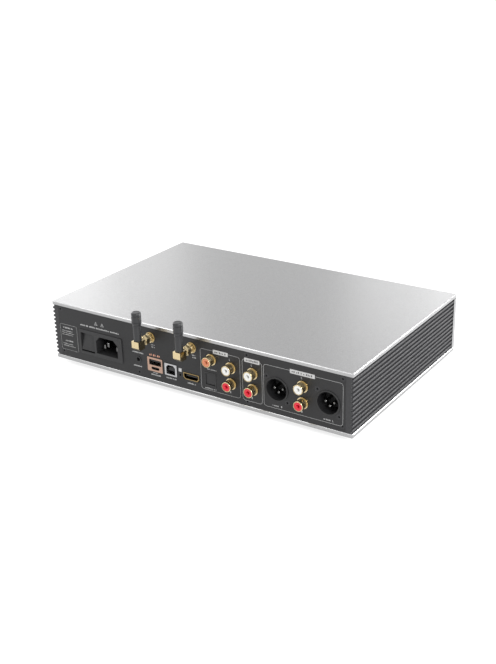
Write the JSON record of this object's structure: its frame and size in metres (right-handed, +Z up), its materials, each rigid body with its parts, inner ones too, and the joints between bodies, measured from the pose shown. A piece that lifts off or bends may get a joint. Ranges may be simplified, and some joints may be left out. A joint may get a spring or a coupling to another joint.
{
  "type": "desktop dac",
  "caption": "Flat desktop digital-to-analogue converter: thick metal plates, finned black sides, a rear panel of audio, digital and mains sockets, stub antennas and a front knob.",
  "frame": {"origin": "on the floor under the middle of the case, midway between the front of the knob and the back of the antennas to within 1 mm", "axes": "+Z up, -Y out of the front with the knob and display, +Y out of the socket panel, +X to the right as seen from the front"},
  "size_m": [0.3, 0.2325, 0.0756],
  "materials": {
    "natural_aluminium": "blasted, clear anodised",
    "black_aluminium": "black anodised, satin",
    "panel_paint": "fine matt powder coat",
    "gold_plate": "polished gold plate",
    "copper_plate": "satin copper plate",
    "nickel_plate": "nickel plate",
    "tinned_steel": "tin plate",
    "black_steel": "black oxide",
    "zinc_steel": "zinc plate",
    "shaft_steel": "ground",
    "black_plastic": "fine moulded texture",
    "gloss_black_plastic": "smooth",
    "white_plastic": "smooth",
    "red_plastic": "smooth",
    "orange_plastic": "smooth",
    "foot_rubber": "matt",
    "antenna_rubber": "soft satin",
    "smoked_glass": "polished",
    "circuit_board": "solder resist",
    "transformer_wrap": "polyester tape over copper windings",
    "flat_cable": "smooth"
  },
  "bodies": {
    "chassis": {"analog_board": "circuit_board", "board_screws": "zinc_steel", "board_standoffs": "zinc_steel", "bottom_plate": "natural_aluminium", "case_screws": "black_steel", "display_module": "black_plastic", "display_window": "smoked_glass", "encoder_body": "black_plastic", "foot_screws": "zinc_steel", "front_panel": "natural_aluminium", "hdmi_shell": "gold_plate", "headphone_jack": "nickel_plate", "inlet_blades": "nickel_plate", "main_board": "circuit_board", "optical_socket": "black_plastic", "panel_blocks": "zinc_steel", "power_board": "circuit_board", "power_module": "black_plastic", "rca_coax_shell": "gold_plate", "rca_orange_insert": "orange_plastic", "rca_out_1_shells": "gold_plate", "rca_out_2_shells": "gold_plate", "rca_out_3_shells": "gold_plate", "rca_red_inserts": "red_plastic", "rca_white_inserts": "white_plastic", "rear_panel": "panel_paint", "rear_panel_screws": "black_steel", "reset_switch": "black_plastic", "ribbon_cable": "flat_cable", "rocker_axle": "shaft_steel", "rubber_feet": "foot_rubber", "side_panel_left": "black_aluminium", "side_panel_right": "black_aluminium", "sma_jack_left": "gold_plate", "sma_jack_right": "gold_plate", "socket_tongues": "black_plastic", "top_plate": "natural_aluminium", "top_plate_pillars": "zinc_steel", "transformer": "transformer_wrap", "trigger_jack": "black_plastic", "usb_b_shell": "tinned_steel", "usb_bezel": "copper_plate", "usb_stack_shell": "tinned_steel", "xlr_left_insert": "black_plastic", "xlr_left_shell": "panel_paint", "xlr_pins": "gold_plate", "xlr_right_insert": "black_plastic", "xlr_right_shell": "panel_paint"},
    "power_rocker": {"power_rocker": "gloss_black_plastic"},
    "optical_shutter": {"optical_shutter": "black_plastic"},
    "reset_plunger": {"reset_plunger": "black_plastic"},
    "encoder_plunger": {"encoder_plunger": "black_plastic"},
    "volume_knob": {"volume_knob": "natural_aluminium", "encoder_shaft": "shaft_steel"},
    "antenna_left": {"antenna_elbow_left": "gold_plate", "antenna_rod_left": "antenna_rubber"},
    "antenna_right": {"antenna_elbow_right": "gold_plate", "antenna_rod_right": "antenna_rubber"},
    "antenna_nut_left": {"antenna_nut_left": "gold_plate"},
    "antenna_nut_right": {"antenna_nut_right": "gold_plate"}
  },
  "joints": [
    {"name": "power_switch", "type": "hinge", "parent": "chassis", "child": "power_rocker", "pos_m": [0.1112, 0.0919, 0.0273], "axis": [1, 0, 0], "range_deg": [-24, 0]},
    {"name": "optical_flap", "type": "hinge", "parent": "chassis", "child": "optical_shutter", "pos_m": [-0.0194, 0.0948, 0.0275], "axis": [1, 0, 0], "range_deg": [-80, 0], "stiffness_Nm_per_rad": 0.0001, "springref_deg": 28.65},
    {"name": "reset_press", "type": "slide", "parent": "chassis", "child": "reset_plunger", "axis": [0, -1, 0], "range_m": [0, 0.0003], "stiffness_N_per_m": 1500, "springref_m": -0.0005},
    {"name": "knob_press", "type": "slide", "parent": "chassis", "child": "encoder_plunger", "axis": [0, 1, 0], "range_m": [0, 0.0005], "stiffness_N_per_m": 2000, "springref_m": -0.001},
    {"name": "knob_turn", "type": "hinge", "parent": "encoder_plunger", "child": "volume_knob", "pos_m": [0.112, -0.106, 0.0321], "axis": [0, 1, 0], "continuous": true},
    {"name": "antenna_swivel_left", "type": "hinge", "parent": "chassis", "child": "antenna_left", "pos_m": [0.04075, 0.1075, 0.0476], "axis": [0, 1, 0], "continuous": true},
    {"name": "antenna_nut_turn_left", "type": "hinge", "parent": "antenna_left", "child": "antenna_nut_left", "pos_m": [0.04075, 0.1042, 0.0476], "axis": [0, 1, 0], "continuous": true},
    {"name": "antenna_swivel_right", "type": "hinge", "parent": "chassis", "child": "antenna_right", "pos_m": [-0.00155, 0.1075, 0.0476], "axis": [0, 1, 0], "continuous": true},
    {"name": "antenna_nut_turn_right", "type": "hinge", "parent": "antenna_right", "child": "antenna_nut_right", "pos_m": [-0.00155, 0.1042, 0.0476], "axis": [0, 1, 0], "continuous": true}
  ]
}
